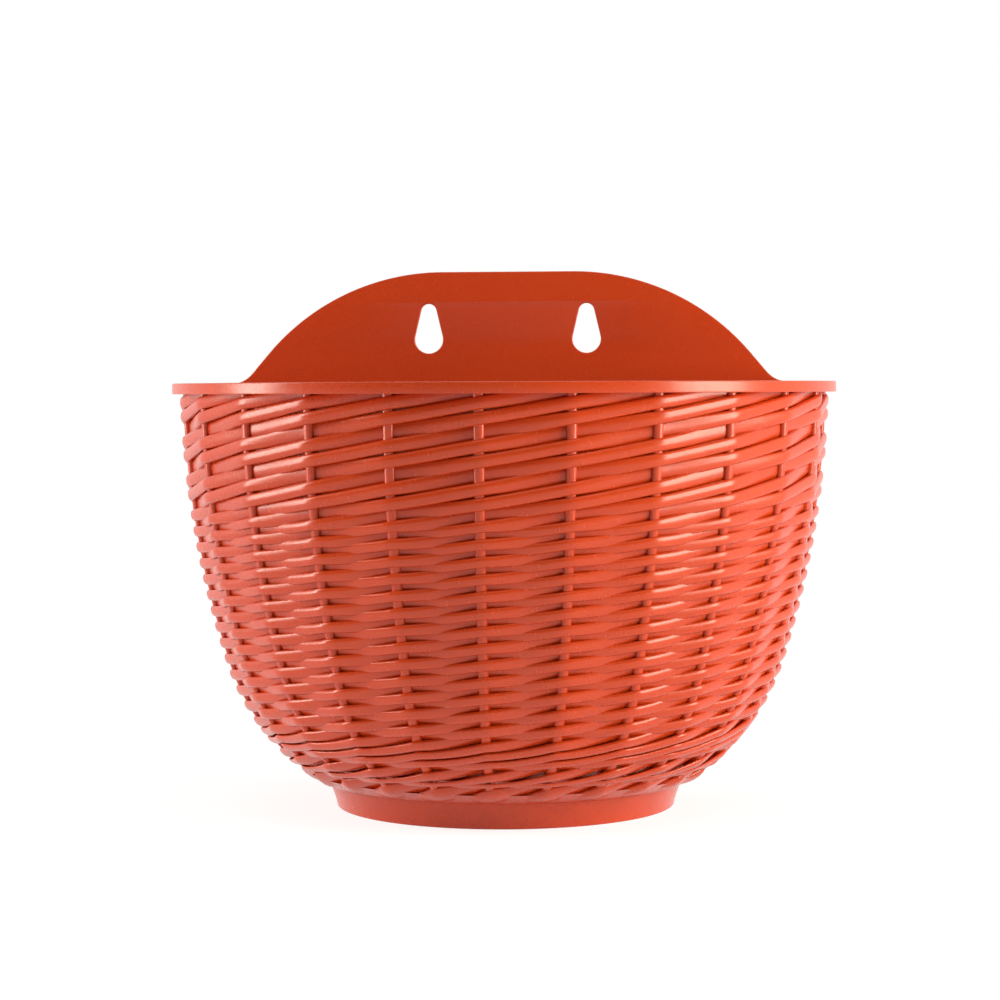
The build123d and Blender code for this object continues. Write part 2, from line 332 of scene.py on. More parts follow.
class Graph:
    """A node tree, and the ways to add to it."""

    def __init__(self, tree):
        self.tree = tree

    def add(self, kind, settings=None, inputs=None):
        """Adds a node. Its settings come first, then its inputs, by name or number, as numbers or links."""
        node = self.tree.nodes.new(kind)
        for name, setting in (settings or {}).items():
            setattr(node, name, setting)
        for key, given in (inputs or {}).items():
            if isinstance(given, Value):
                self.tree.links.new(given.socket, node.inputs[key])
            else:
                node.inputs[key].default_value = given
        return node

    def out(self, kind, settings=None, inputs=None, output=0):
        """Adds a node and gives one of its outputs."""
        return Value(self, self.add(kind, settings, inputs).outputs[output])

    def maths(self, operation, *values):
        return self.out("ShaderNodeMath", {"operation": operation}, dict(enumerate(values)))

    def mix(self, factor, first, second):
        """Mixes two colours."""
        inputs = {0: factor, 6: first, 7: second}
        return self.out("ShaderNodeMix", {"data_type": "RGBA"}, inputs, 2)


# Shape of the side


class Side:
    """The basket's side as two arcs along the strands' crests. An inset is a depth inside the crests."""

    def __init__(self, shell):
        self.belly_arc = shell.belly_arc
        self.heel_arc = shell.heel_arc
        self.belly_lean = shell.belly_lean
        self.axis_y = shell.rim_radius + cad_box[0][1]
        crest_radius = shell.rim_radius - shell.rim_overhang
        band_bottom = shell.rim_top - shell.band_height
        self.belly_radius = crest_radius - self.belly_arc * cos(shell.rim_lean)
        self.belly_height = band_bottom + self.belly_arc * sin(shell.rim_lean)
        between = self.belly_arc - self.heel_arc
        self.heel_radius = self.belly_radius + between * cos(self.belly_lean)
        self.heel_height = self.belly_height - between * sin(self.belly_lean)

    def lean_at(self, height, inset):
        slope = (self.belly_height - height) / (self.belly_arc - inset)
        if slope > sin(self.belly_lean):
            slope = (self.heel_height - height) / (self.heel_arc - inset)
        return asin(slope)

    def point(self, lean, inset):
        """Radius and height of the side where it has this lean."""
        if lean < self.belly_lean:
            run = self.belly_arc - inset
            return self.belly_radius + run * cos(lean), self.belly_height - run * sin(lean)
        run = self.heel_arc - inset
        return self.heel_radius + run * cos(lean), self.heel_height - run * sin(lean)

    def radius_at(self, height, inset=0.0):
        return self.point(self.lean_at(height, inset), inset)[0]

    def profile(self, inset, high, low, steps):
        """Points down the side from one height to another."""
        top, bottom = self.lean_at(high, inset), self.lean_at(low, inset)
        return [self.point(top + (bottom - top) * step / steps, inset) for step in range(steps + 1)]


# Mesh helpers


def finish_piece(piece, name, nodes, material=None):
    """Gives a finished piece its name and material, puts it under the root body, and hides the CAD nodes
    that it replaces.
    """
    piece.name = name
    piece.data.name = name
    if material is not None:
        piece.data.materials.clear()
        piece.data.materials.append(material)
    if not len(piece.data.polygons):
        raise RuntimeError(name + " came out empty")
    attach(piece, "root")
    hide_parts(*nodes)


def new_object(name, data):
    """Puts a mesh, curve, lamp or camera into the scene as an object."""
    piece = bpy.data.objects.new(name, data)
    bpy.context.scene.collection.objects.link(piece)
    return piece


def plain_mesh(piece):
    """Turns an object with modifiers, or a curve, into an object with a plain mesh. Removes the old one."""
    graph = bpy.context.evaluated_depsgraph_get()
    mesh = bpy.data.meshes.new_from_object(piece.evaluated_get(graph), depsgraph=graph)
    flat = new_object(piece.name + ".mesh", mesh)
    mesh.transform(piece.matrix_world)
    bpy.data.objects.remove(piece)
    return flat


def smooth_by_angle(mesh, limit):
    """Shades a mesh smooth, with sharp edges where its faces meet at more than this angle."""
    for face in mesh.polygons:
        face.use_smooth = True
    mesh.set_sharp_from_angle(angle=limit)


def outward(mesh, merge=0.0):
    """Merges doubles and turns the faces outwards."""
    form = bmesh.new()
    form.from_mesh(mesh)
    if merge:
        bmesh.ops.remove_doubles(form, verts=form.verts, dist=merge)
    bmesh.ops.recalc_face_normals(form, faces=form.faces)
    form.to_mesh(mesh)
    form.free()


def new_mesh(name, form):
    """Turns a bmesh form into a mesh and frees the form."""
    mesh = bpy.data.meshes.new(name)
    form.to_mesh(mesh)
    form.free()
    return mesh


def turned_form(name, profile, side, steps=TURN_STEPS):
    """Turns a closed profile of radii and heights round the basket's axis and cuts it off at the panel."""
    form = bmesh.new()
    ring = [form.verts.new((radius, 0.0, height)) for radius, height in profile]
    edges = [form.edges.new((ring[index - 1], ring[index])) for index in range(len(ring))]
    bmesh.ops.spin(
        form,
        geom=ring + edges,
        cent=(0, 0, 0),
        axis=(0, 0, 1),
        angle=2 * pi,
        steps=steps,
        use_merge=True,
    )
    bmesh.ops.translate(form, verts=form.verts, vec=(0, side.axis_y, 0))
    everything = list(form.verts) + list(form.edges) + list(form.faces)
    cut = bmesh.ops.bisect_plane(
        form,
        geom=everything,
        plane_co=(0, plate_box[0][1], 0),
        plane_no=(0, 1, 0),
        clear_outer=True,
        dist=CUT_TOLERANCE,
    )
    rims = [part for part in cut["geom_cut"] if isinstance(part, bmesh.types.BMEdge)]
    bmesh.ops.holes_fill(form, edges=rims, sides=0)
    bmesh.ops.remove_doubles(form, verts=form.verts, dist=MERGE)
    bmesh.ops.recalc_face_normals(form, faces=form.faces)
    return new_object(name, new_mesh(name, form))


def bend(start, corner, end, steps):
    """Points of a smooth bend from start to end that cuts off the corner."""
    points = []
    for step in range(steps + 1):
        t = step / steps
        points.append(start * (1 - t) ** 2 + corner * 2 * t * (1 - t) + end * t * t)
    return points


def rounded(points, radii, steps=CORNER_STEPS):
    """A closed outline with its corners rounded. Each corner has its own radius, and 0 leaves it sharp."""
    outline = []
    for index, corner in enumerate(points):
        here = Vector(corner)
        before = Vector(points[index - 1]) - here
        after = Vector(points[(index + 1) % len(points)]) - here
        half = before.angle(after) / 2
        if radii[index] <= 0 or half < NEARLY_STRAIGHT or half > pi / 2 - NEARLY_STRAIGHT:
            outline.append(here)
            continue
        reach = radii[index] / tan(half)
        for leg in (before, after):
            reach = min(reach, LONGEST_ROUNDING * leg.length)
        start, end = here + before.normalized() * reach, here + after.normalized() * reach
        outline += bend(start, here, end, steps)
    return [tuple(point) for point in outline]


# Material


def noise(graph, place, scale, detail, roughness=0.5):
    inputs = {"Vector": place, "Scale": scale, "Detail": detail, "Roughness": roughness}
    return graph.out("ShaderNodeTexNoise", None, inputs)


def moulded_plastic(finish, name="moulded_terracotta", woven=False):
    """Semi-gloss moulded plastic: faint flow streaks, a fine orange peel and small scuffs.

    On the weave the colour is darkened in the grooves as painted shade, by the strands' own depth
    attribute."""
    material = bpy.data.materials.get(name)
    if material:
        return material
    material = bpy.data.materials.new(name)
    material.use_nodes = True
    graph = Graph(material.node_tree)
    material.node_tree.nodes.clear()
    place = graph.out("ShaderNodeTexCoord", output=3)
    stretched = graph.out("ShaderNodeVectorMath", {"operation": "MULTIPLY"}, {0: place, 1: STREAK_SCALES})
    streaks = noise(graph, stretched, 1.0, STREAK_DETAIL, STREAK_ROUGHNESS)
    cloud = noise(graph, place, CLOUD_SCALE, CLOUD_DETAIL)
    peel = noise(graph, place, PEEL_SCALE, PEEL_DETAIL)
    scuffs = noise(graph, place, SCUFF_SCALE, SCUFF_DETAIL, SCUFF_ROUGHNESS)
    deep = (*finish.deep, 1.0)
    streaked = graph.maths("MULTIPLY_ADD", streaks, STREAK_SHARE, STREAK_START)
    base = graph.mix(streaked, (*finish.terracotta, 1.0), (*finish.worn, 1.0))
    base = graph.mix((cloud - 0.5) * CLOUD_SHARE + CLOUD_START, base, deep)
    # Painted shade: on the weave the colour darkens towards the deep tone with the depth into the grooves
    if woven:
        depth = graph.out("ShaderNodeAttribute", {"attribute_name": "depth"}, output=2)
        base = graph.mix(graph.maths("MINIMUM", depth * GROOVE_SHADE_SHARE, GROOVE_SHADE_LIMIT), base, deep)
    rough = finish.gloss + (scuffs - 0.5) * SCUFF_GLOSS + (cloud - 0.5) * CLOUD_GLOSS
    relief = {"Strength": BUMP_STRENGTH, "Distance": BUMP_DISTANCE, "Height": peel + scuffs * SCUFF_BUMP}
    bump = graph.out("ShaderNodeBump", None, relief)
    looks = {"Base Color": base, "Roughness": rough, "Normal": bump, "IOR": PLASTIC_IOR}
    shader = graph.out("ShaderNodeBsdfPrincipled", None, looks)
    graph.add("ShaderNodeOutputMaterial", None, {"Surface": shader})
    return material


# Weave


class Rows:
    """Where the rows of the weave lie. A place counts in stakes from the leftmost one."""

    def __init__(self, weave):
        self.weave = weave
        heights = [weave.upper_front if row == "F" else weave.upper_back for row in UPPER_ROWS]
        heights[-1] = weave.upper_last
        heights += [weave.middle_front if row == "F" else weave.middle_back for row in MIDDLE_ROWS]
        heights += LOWER_HEIGHTS
        self.edges = [weave.rows_top]
        for height in heights:
            self.edges.append(self.edges[-1] - height)

    def front(self, row):
        """Whether a row passes in front of the stakes."""
        return 0 <= row < len(ROWS) and ROWS[row] == "F"

    def height(self, edge):
        if edge < 0:
            return self.weave.rows_top - edge * self.weave.upper_back
        return self.edges[min(edge, len(ROWS))]

    def gap(self, edge):
        """Gap between the rows above and below an edge, where it meets a stake."""
        paired = self.front(edge - 1) and self.front(edge)
        return self.weave.pair_gap if paired else self.weave.groove

    def edge_at(self, edge, climb):
        """Height and gap of the groove that starts at this edge on a stake, part of the way to the next."""
        power = self.weave.upper_climb if edge <= FIRST_MIDDLE else self.weave.lower_climb
        part = climb ** power
        height = self.height(edge) + part * (self.height(edge - 1) - self.height(edge))
        return height, self.gap(edge) + climb * (self.gap(edge - 1) - self.gap(edge))

    def runs(self, first, after):
        """Every stretch of a strand from behind one stake to behind another, in the rows first to after.

        Gives the row in which it leaves the first stake, that stake and the last one."""
        for low in range(first, after):
            if self.front(low) and not self.front(low + 1):
                crossings = 1
                while self.front(low - crossings):
                    crossings += 1
                for start in range(-crossings - 2, STAKE_COUNT + 1):
                    yield low + 1, start, start + crossings + 1


def strand_path(rows, weave, side, low_row, start, finish):
    """Points of one strand: turn, inset and height of its middle, with its half width and half depth."""
    high = rows.height(low_row - (finish - start))
    reach = cad_box[1][1] - side.axis_y - STRAND_END
    behind = asin(reach / side.radius_at(min(high, TOP_OF_SIDE)))
    last = MIDDLE_STAKE + (pi / 2 + behind) / STAKE_PITCH
    hidden = band_box[1][2] - STRAND_COVER
    path = []
    for step in range((finish - start) * weave.bay_steps + 1):
        place = start + step / weave.bay_steps
        stake = min(floor(place + 1e-6), finish - 1)
        climb = place - stake
        row = low_row - (stake - start)
        top, top_gap = rows.edge_at(row, climb)
        bottom, bottom_gap = rows.edge_at(row + 1, climb)
        top -= top_gap / 2
        bottom += bottom_gap / 2
        top, bottom = min(top, hidden), min(bottom, hidden - STRAND_TAIL)
        half_width = max(top - bottom, THINNEST_STRAND) / 2
        dips = [-weave.rise if rows.front(beside) else weave.dive for beside in (row, row - 1)]
        ease = (1 - SMOOTH_SHARE) * climb + SMOOTH_SHARE * (1 - cos(pi * climb)) / 2
        crest = dips[0] + (dips[1] - dips[0]) * ease
        half_depth = half_width * weave.roundness
        half_width += weave.spread + weave.deep_spread * crest / weave.dive
        turn = (place - MIDDLE_STAKE) * STAKE_PITCH
        path.append((turn, crest + half_depth, (top + bottom) / 2, half_width, half_depth, place))
    inside = [point[:5] for point in path if 2 * MIDDLE_STAKE - last <= point[5] <= last]
    return inside if len(inside) > 2 else []


def wrap_tree(name, side, weave):
    """Geometry nodes that give flat paths their round section and lay them round the basket.

    A path's points hold turn, inset and height, with the attributes half_width and half_depth."""
    tree = bpy.data.node_groups.new(name, "GeometryNodeTree")
    defaults = {
        "Axis Y": side.axis_y,
        "Belly Radius": side.belly_radius,
        "Belly Height": side.belly_height,
        "Belly Arc": side.belly_arc,
        "Belly Lean": side.belly_lean,
        "Heel Radius": side.heel_radius,
        "Heel Height": side.heel_height,
        "Heel Arc": side.heel_arc,
        "Squareness": weave.squareness,
        "Straightness": weave.straightness,
        "Stake Pitch": STAKE_PITCH,
        "Wall Depth": GROOVE_SHADE_DEPTH,
        "Upright": 0.0,
    }

    def socket(label, kind, in_out="INPUT"):
        return tree.interface.new_socket(name=label, in_out=in_out, socket_type="NodeSocket" + kind)

    socket("Geometry", "Geometry")
    for label, default in defaults.items():
        socket(label, "Float").default_value = default
    socket("Sides", "Int").default_value = weave.strand_sides
    socket("Material", "Material")
    socket("Geometry", "Geometry", "OUTPUT")
    graph = Graph(tree)
    group = graph.add("NodeGroupInput")

    def given(label):
        return Value(graph, group.outputs[label])

    def named(label, kind="FLOAT"):
        return graph.out("GeometryNodeInputNamedAttribute", {"data_type": kind}, {"Name": label})

    def store(geometry, label, value, kind="FLOAT"):
        settings = {"data_type": kind, "domain": "POINT"}
        inputs = {"Geometry": geometry, "Name": label, "Value": value}
        return graph.out("GeometryNodeStoreNamedAttribute", settings, inputs)

    flat = store(given("Geometry"), "flat", graph.out("GeometryNodeInputPosition"), "FLOAT_VECTOR")
    curve = graph.out("GeometryNodeMeshToCurve", None, {"Mesh": flat})
    ring = {"Resolution": given("Sides"), 4: 1.0}
    circle = graph.out("GeometryNodeCurvePrimitiveCircle", {"mode": "RADIUS"}, ring)
    around = graph.out("GeometryNodeInputIndex") * (2 * pi) / given("Sides")
    circle = store(circle, "around", around)
    swept = {"Curve": curve, "Profile Curve": circle, "Fill Caps": True}
    tube = graph.out("GeometryNodeCurveToMesh", None, swept)

    def squared(value, half):
        size = graph.maths("ABSOLUTE", value) ** given("Squareness")
        return graph.maths("SIGN", value) * size * named(half)

    across = squared(graph.maths("COSINE", named("around")), "half_width")
    rise = squared(graph.maths("SINE", named("around")), "half_depth")
    parts = graph.add("ShaderNodeSeparateXYZ", None, {0: named("flat", "FLOAT_VECTOR")})
    turn, inset, height = (Value(graph, parts.outputs[index]) for index in range(3))
    inset = inset - rise
    height = height + across * (1 - given("Upright"))
    belly_slope = (given("Belly Height") - height) / given("Belly Arc")
    on_heel = belly_slope > graph.maths("SINE", given("Belly Lean"))
    on_belly = 1 - on_heel
    lean = graph.maths("ARCSINE", belly_slope) * on_belly
    lean = lean + graph.maths("ARCSINE", (given("Heel Height") - height) / given("Heel Arc")) * on_heel
    run = given("Belly Arc") * on_belly + given("Heel Arc") * on_heel - inset
    centre_radius = given("Belly Radius") * on_belly + given("Heel Radius") * on_heel
    centre_height = given("Belly Height") * on_belly + given("Heel Height") * on_heel
    radius = centre_radius + run * graph.maths("COSINE", lean)
    level = centre_height - run * graph.maths("SINE", lean)
    turn = turn + across * given("Upright") / radius
    half_pitch = given("Stake Pitch") / 2
    bay = graph.maths("FLOOR", turn / given("Stake Pitch")) * given("Stake Pitch") + half_pitch
    chord = graph.maths("COSINE", half_pitch) / graph.maths("COSINE", turn - bay)
    radius = radius * (1 - given("Straightness") * (1 - chord))
    x = radius * graph.maths("SINE", turn)
    y = given("Axis Y") - radius * graph.maths("COSINE", turn)
    place = graph.out("ShaderNodeCombineXYZ", None, {0: x, 1: y, 2: level})
    # Painted shade: how deep each point lies in the weave, stored as the depth attribute that darkens the
    # grooves' colour
    deep = graph.maths("MAXIMUM", inset / given("Wall Depth"), 0.0)
    tube = store(tube, "depth", graph.maths("MINIMUM", deep, 1.0))
    laid = graph.out("GeometryNodeSetPosition", None, {"Geometry": tube, "Position": place})
    smooth = graph.out("GeometryNodeSetShadeSmooth", None, {"Geometry": laid})
    real = graph.out("GeometryNodeRealizeInstances", None, {"Geometry": smooth})
    coated = graph.out("GeometryNodeSetMaterial", None, {"Geometry": real, "Material": given("Material")})
    graph.add("NodeGroupOutput", None, {0: coated})
    return tree


def wrapped(name, paths, tree, material, shape=None):
    """Makes one mesh of the paths, laid round the basket by the tree."""
    points, edges = [], []
    for path in paths:
        edges += [(len(points) + index, len(points) + index + 1) for index in range(len(path) - 1)]
        points += path
    mesh = bpy.data.meshes.new(name)
    mesh.from_pydata([point[:3] for point in points], edges, [])
    for column, label in ((3, "half_width"), (4, "half_depth")):
        attribute = mesh.attributes.new(label, "FLOAT", "POINT")
        attribute.data.foreach_set("value", [point[column] for point in points])
    piece = new_object(name, mesh)
    modifier = piece.modifiers.new("Wrap", "NODES")
    modifier.node_group = tree
    sockets = [item for item in tree.interface.items_tree if item.in_out == "INPUT"]
    identifiers = {item.name: item.identifier for item in sockets}
    modifier[identifiers["Material"]] = material
    for label, value in (shape or {}).items():
        modifier[identifiers[label]] = value
    flat = plain_mesh(piece)
    for label in ("half_width", "half_depth", "flat", "around"):
        if label in flat.data.attributes:
            flat.data.attributes.remove(flat.data.attributes[label])
    outward(flat.data)
    return flat


# Operators


class PLANTER_OT_tub(bpy.types.Operator):
    """Makes the smooth half-round shell inside the weave, with its floor and drain holes"""

    bl_idname = "planter.tub"
    bl_label = "Make Tub"

    def execute(self, context):
        shell = context.scene.planter.shell
        side = Side(shell)
        band_bottom = shell.rim_top - shell.band_height
        floor_top = shell.floor_height + shell.floor_wall
        wall = side.profile(shell.wall_depth, band_bottom, shell.floor_height + FLOOR_CHAMFER, SIDE_STEPS)
        lining = side.profile(shell.lining_depth, band_bottom, floor_top, SIDE_STEPS)
        bottom = [(wall[-1][0] - FLOOR_CHAMFER, shell.floor_height), (0.0, shell.floor_height)]
        bottom.append((0.0, floor_top))
        corner = lining[-1]
        fillet_top = floor_top + shell.floor_fillet
        start = Vector((corner[0] - shell.floor_fillet * FILLET_REACH, floor_top))
        end = Vector(side.point(side.lean_at(fillet_top, shell.lining_depth), shell.lining_depth))
        fillet = [tuple(point) for point in bend(start, Vector(corner), end, FILLET_STEPS)]
        upper = [point for point in lining if point[1] > fillet_top]
        profile = wall + bottom + fillet + list(reversed(upper))
        tub = turned_form("tub_shell", profile, side)
        for turn in DRAIN_TURNS:
            x, y = shell.drain_circle * sin(turn), side.axis_y - shell.drain_circle * cos(turn)
            form = bmesh.new()
            bmesh.ops.create_cone(
                form,
                cap_ends=True,
                segments=DRAIN_SIDES,
                radius1=shell.drain_radius,
                radius2=shell.drain_radius,
                depth=CUTTER_DEPTH,
                matrix=Matrix.Translation((x, y, floor_top)),
            )
            cutter = new_object("drain_cutter", new_mesh("drain_cutter", form))
            cut = tub.modifiers.new("Drain", "BOOLEAN")
            cut.operation = "DIFFERENCE"
            cut.solver = "EXACT"
            cut.object = cutter
            tub = plain_mesh(tub)
            bpy.data.objects.remove(cutter)
        smooth_by_angle(tub.data, FORM_ANGLE)
        finish_piece(tub, "tub_shell", ["tub"], moulded_plastic(context.scene.planter.finish))
        return {"FINISHED"}


class PLANTER_OT_rim(bpy.types.Operator):
    """Makes the smooth flange round the mouth"""

    bl_idname = "planter.rim"
    bl_label = "Make Rim Band"

    def execute(self, context):
        shell = context.scene.planter.shell
        side = Side(shell)
        top, bottom = shell.rim_top, shell.rim_top - shell.band_height
        inner, outer = side.radius_at(bottom, shell.lining_depth), shell.rim_radius
        corners = [(inner, bottom), (outer, bottom), (outer, top), (inner, top)]
        edge = shell.band_edge
        profile = rounded(corners, [0.0, edge * LESSER_EDGE, edge, edge])
        band = turned_form("rim_flange", profile, side, RIM_TURN_STEPS)
        smooth_by_angle(band.data, EDGE_ANGLE)
        finish_piece(band, "rim_flange", ["rim_band"], moulded_plastic(context.scene.planter.finish))
        return {"FINISHED"}


class PLANTER_OT_foot(bpy.types.Operator):
    """Makes the smooth flared foot"""

    bl_idname = "planter.foot"
    bl_label = "Make Foot"

    def execute(self, context):
        shell = context.scene.planter.shell
        side = Side(shell)
        bore = shell.foot_radius - shell.foot_wall
        low = Rows(context.scene.planter.weave).edges[-1]
        high = low + shell.collar_height
        outer = []
        for step in range(FLARE_STEPS + 1):
            t = step / FLARE_STEPS
            outer.append((shell.foot_radius + shell.foot_flare * t ** FLARE_POWER, (low - FOOT_GAP) * t))
        outer += reversed(side.profile(shell.collar_depth, high, low, COLLAR_STEPS))
        inside = [side.point(side.lean_at(height, FOOT_LINING), FOOT_LINING) for height in (high, low)]
        corners = [(bore, shell.floor_height), (bore, 0.0)] + outer + inside
        radii = [0.0, shell.foot_edge * LESSER_EDGE, shell.foot_edge] + [0.0] * (len(outer) + 1)
        foot = turned_form("foot_flare", rounded(corners, radii), side)
        smooth_by_angle(foot.data, FORM_ANGLE)
        finish_piece(foot, "foot_flare", ["foot_ring"], moulded_plastic(context.scene.planter.finish))
        return {"FINISHED"}


class PLANTER_OT_plate(bpy.types.Operator):
    """Makes the flat back panel with its arched hanging plate and two keyholes"""

    bl_idname = "planter.plate"
    bl_label = "Make Back Plate"

    def execute(self, context):
        shell = context.scene.planter.shell
        side = Side(shell)
        half_depth = shell.plate_depth / 2
        reach = plate_box[0][1] + half_depth - side.axis_y

        def across(radius):
            """Half the width of the turned form where the panel cuts it."""
            return (max(radius ** 2 - reach ** 2, 0.0)) ** 0.5

        def around(centre, radius, turn):
            """The point on a circle at this turn from its top."""
            return centre[0] + radius * sin(turn), centre[1] + radius * cos(turn)

        top = plate_box[1][2]
        centre = (shell.plate_flat / 2, top - shell.shoulder_arc)
        right = [(0.0, top)]
        for step in range(SHOULDER_STEPS + 1):
            turn = shell.shoulder_turn * step / SHOULDER_STEPS
            right.append(around(centre, shell.shoulder_arc, turn))
        end = right[-1]
        root = end[0] + (end[1] - shell.rim_top) / tan(shell.shoulder_turn)
        corner = [end, (root, shell.rim_top), (root + PLATE_LEDGE, shell.rim_top)]
        right += rounded(corner, [0.0, shell.root_fillet, 0.0], ROOT_STEPS)[1:-1]
        bottom = shell.rim_top - shell.band_height
        rim = across(shell.rim_radius)
        right += [(rim - PLATE_RIM_EDGE, shell.rim_top), (rim, shell.rim_top - PLATE_RIM_EDGE)]
        right.append((rim, bottom + PLATE_BAND_STEP))
        run = shell.foot_radius + shell.foot_flare - side.heel_radius
        foot_top = side.point(acos(run / (side.heel_arc - PLATE_FOOT_DEPTH)), PLATE_FOOT_DEPTH)
        for radius, height in side.profile(0.0, bottom, foot_top[1], PLATE_SIDE_STEPS):
            right.append((across(radius), height))
        right += [(across(foot_top[0]), foot_top[1]), (across(shell.foot_radius), 0.0), (0.0, 0.0)]
        outline = right + [(-x, z) for x, z in reversed(right[1:-1])]
        loops = [outline]
        spread = acos((shell.mouth_radius - shell.seat_radius) / shell.mouth_to_seat)
        for x in (-shell.keyhole_pitch / 2, shell.keyhole_pitch / 2):
            mouth, seat = (x, shell.mouth_height), (x, shell.mouth_height + shell.mouth_to_seat)
            hole = []
            for step in range(MOUTH_STEPS + 1):
                turn = spread + (2 * pi - 2 * spread) * step / MOUTH_STEPS
                hole.append(around(mouth, shell.mouth_radius, turn))
            for step in range(SEAT_STEPS + 1):
                turn = -spread + 2 * spread * step / SEAT_STEPS
                hole.append(around(seat, shell.seat_radius, turn))
            loops.append(hole)
        curve = bpy.data.curves.new("hanging_plate", "CURVE")
        curve.dimensions = "2D"
        curve.fill_mode = "BOTH"
        for loop in loops:
            spline = curve.splines.new("POLY")
            spline.points.add(len(loop) - 1)
            for point, (x, z) in zip(spline.points, loop):
                point.co = (x, z, 0.0, 1.0)
            spline.use_cyclic_u = True
        curve.offset = -shell.plate_edge
        curve.extrude = half_depth - shell.plate_edge
        curve.bevel_depth = shell.plate_edge
        curve.bevel_resolution = EDGE_STEPS
        plate = new_object("hanging_plate", curve)
        upright = Matrix.Rotation(pi / 2, 4, "X")
        plate.matrix_world = Matrix.Translation((0, plate_box[0][1] + half_depth, 0)) @ upright
        bpy.context.view_layer.update()
        plate = plain_mesh(plate)
        outward(plate.data, MERGE)
        smooth_by_angle(plate.data, EDGE_ANGLE)
        finish_piece(plate, "hanging_plate", ["back_plate"], moulded_plastic(context.scene.planter.finish))
        return {"FINISHED"}


class PLANTER_OT_stakes(bpy.types.Operator):
    """Makes the upright stakes, one piece for each"""

    bl_idname = "planter.stakes"
    bl_label = "Make Stakes"

    def execute(self, context):
        planter = context.scene.planter
        weave = planter.weave
        tree = wrap_tree("Stake", Side(planter.shell), weave)
        # The weave's material paints shade into its grooves
        material = moulded_plastic(planter.finish, "moulded_terracotta_weave_painted_shade", woven=True)
        high = planter.shell.rim_top - planter.shell.band_height / 2
        low = Rows(weave).edges[-1] + STAKE_LIFT
        half_width, half_depth = weave.stake_width / 2, weave.stake_depth / 2
        shape = {"Upright": 1.0, "Straightness": 0.0, "Squareness": STAKE_SQUARENESS}
        for index in range(STAKE_COUNT):
            turn = (index - MIDDLE_STAKE) * STAKE_PITCH
            path = []
            for step in range(STAKE_STEPS + 1):
                height = high + (low - high) * step / STAKE_STEPS
                path.append((turn, weave.stake_sink + half_depth, height, half_width, half_depth))
            name = f"stake_rod_{index + 1:02d}"
            rod = wrapped(name, [path], tree, material, shape)
            finish_piece(rod, name, [f"stake_{index + 1:02d}"])
        return {"FINISHED"}


class PLANTER_OT_strands(bpy.types.Operator):
    """Makes the strands of the three bands of the weave"""

    bl_idname = "planter.strands"
    bl_label = "Make Strands"

    def execute(self, context):
        planter = context.scene.planter
        weave = planter.weave
        side = Side(planter.shell)
        rows = Rows(weave)
        tree = wrap_tree("Strands", side, weave)
        # The weave's material paints shade into its grooves
        material = moulded_plastic(planter.finish, "moulded_terracotta_weave_painted_shade", woven=True)
        bands = (
            ("upper_strands", "upper_weave", 0, FIRST_MIDDLE),
            ("middle_strands", "middle_weave", FIRST_MIDDLE, FIRST_LOWER),
            ("lower_strands", "lower_weave", FIRST_LOWER, len(ROWS)),
        )
        for name, node, first, after in bands:
            paths = []
            for low_row, start, finish in rows.runs(first, after):
                path = strand_path(rows, weave, side, low_row, start, finish)
                if path:
                    paths.append(path)
            strands = wrapped(name, paths, tree, material)
            finish_piece(strands, name, [node])
        return {"FINISHED"}


def soft_box(name, power, size, place, tint):
    """A rectangular studio lamp that faces the planter."""
    lamp = bpy.data.lights.new(name, "AREA")
    lamp.shape = "RECTANGLE"
    lamp.size, lamp.size_y = size
    lamp.energy = power
    lamp.color = tint
    lamp_object = new_object(name, lamp)
    lamp_object.location = place
    sight = Vector(LAMP_TARGET) - Vector(place)
    lamp_object.rotation_euler = sight.to_track_quat("-Z", "Y").to_euler()


def studio_floor(tint):
    """A floor that takes soft shadows near the planter and fades to pure white where it is seen far off."""
    form = bmesh.new()
    bmesh.ops.create_grid(form, x_segments=1, y_segments=1, size=FLOOR_HALF_WIDTH)
    ground = new_object("studio_floor", new_mesh("studio_floor", form))
    material = bpy.data.materials.new("studio_white")
    material.use_nodes = True
    graph = Graph(material.node_tree)
    material.node_tree.nodes.clear()
    path = graph.add("ShaderNodeLightPath")
    seen = Value(graph, path.outputs["Is Camera Ray"])
    for ray in ("Is Glossy Ray", "Is Transmission Ray"):
        seen = graph.maths("MAXIMUM", seen, Value(graph, path.outputs[ray]))
    place = graph.out("ShaderNodeTexCoord", output=3)
    away = graph.out("ShaderNodeVectorMath", {"operation": "LENGTH"}, {0: place}, 1)
    far = graph.maths("SMOOTH_MIN", (away - FADE_START) * FADE_RATE, 1.0, FADE_EASE)
    matte = graph.out("ShaderNodeBsdfDiffuse", None, {"Color": (*tint, 1.0)})
    shaded = graph.out("ShaderNodeBsdfDiffuse", None, {"Color": (FLOOR_NEAR, FLOOR_NEAR, FLOOR_NEAR, 1.0)})
    glow = graph.out("ShaderNodeEmission", None, {"Color": WHITE, "Strength": FLOOR_GLOW})
    near = graph.out("ShaderNodeAddShader", None, {0: shaded, 1: glow})
    white = graph.out("ShaderNodeEmission", None, {"Color": WHITE, "Strength": 1.0})
    shown = graph.out("ShaderNodeMixShader", None, {0: graph.maths("MAXIMUM", far, 0.0), 1: near, 2: white})
    look = graph.out("ShaderNodeMixShader", None, {0: seen, 1: matte, 2: shown})
    graph.add("ShaderNodeOutputMaterial", None, {"Surface": look})
    ground.data.materials.append(material)
    return ground


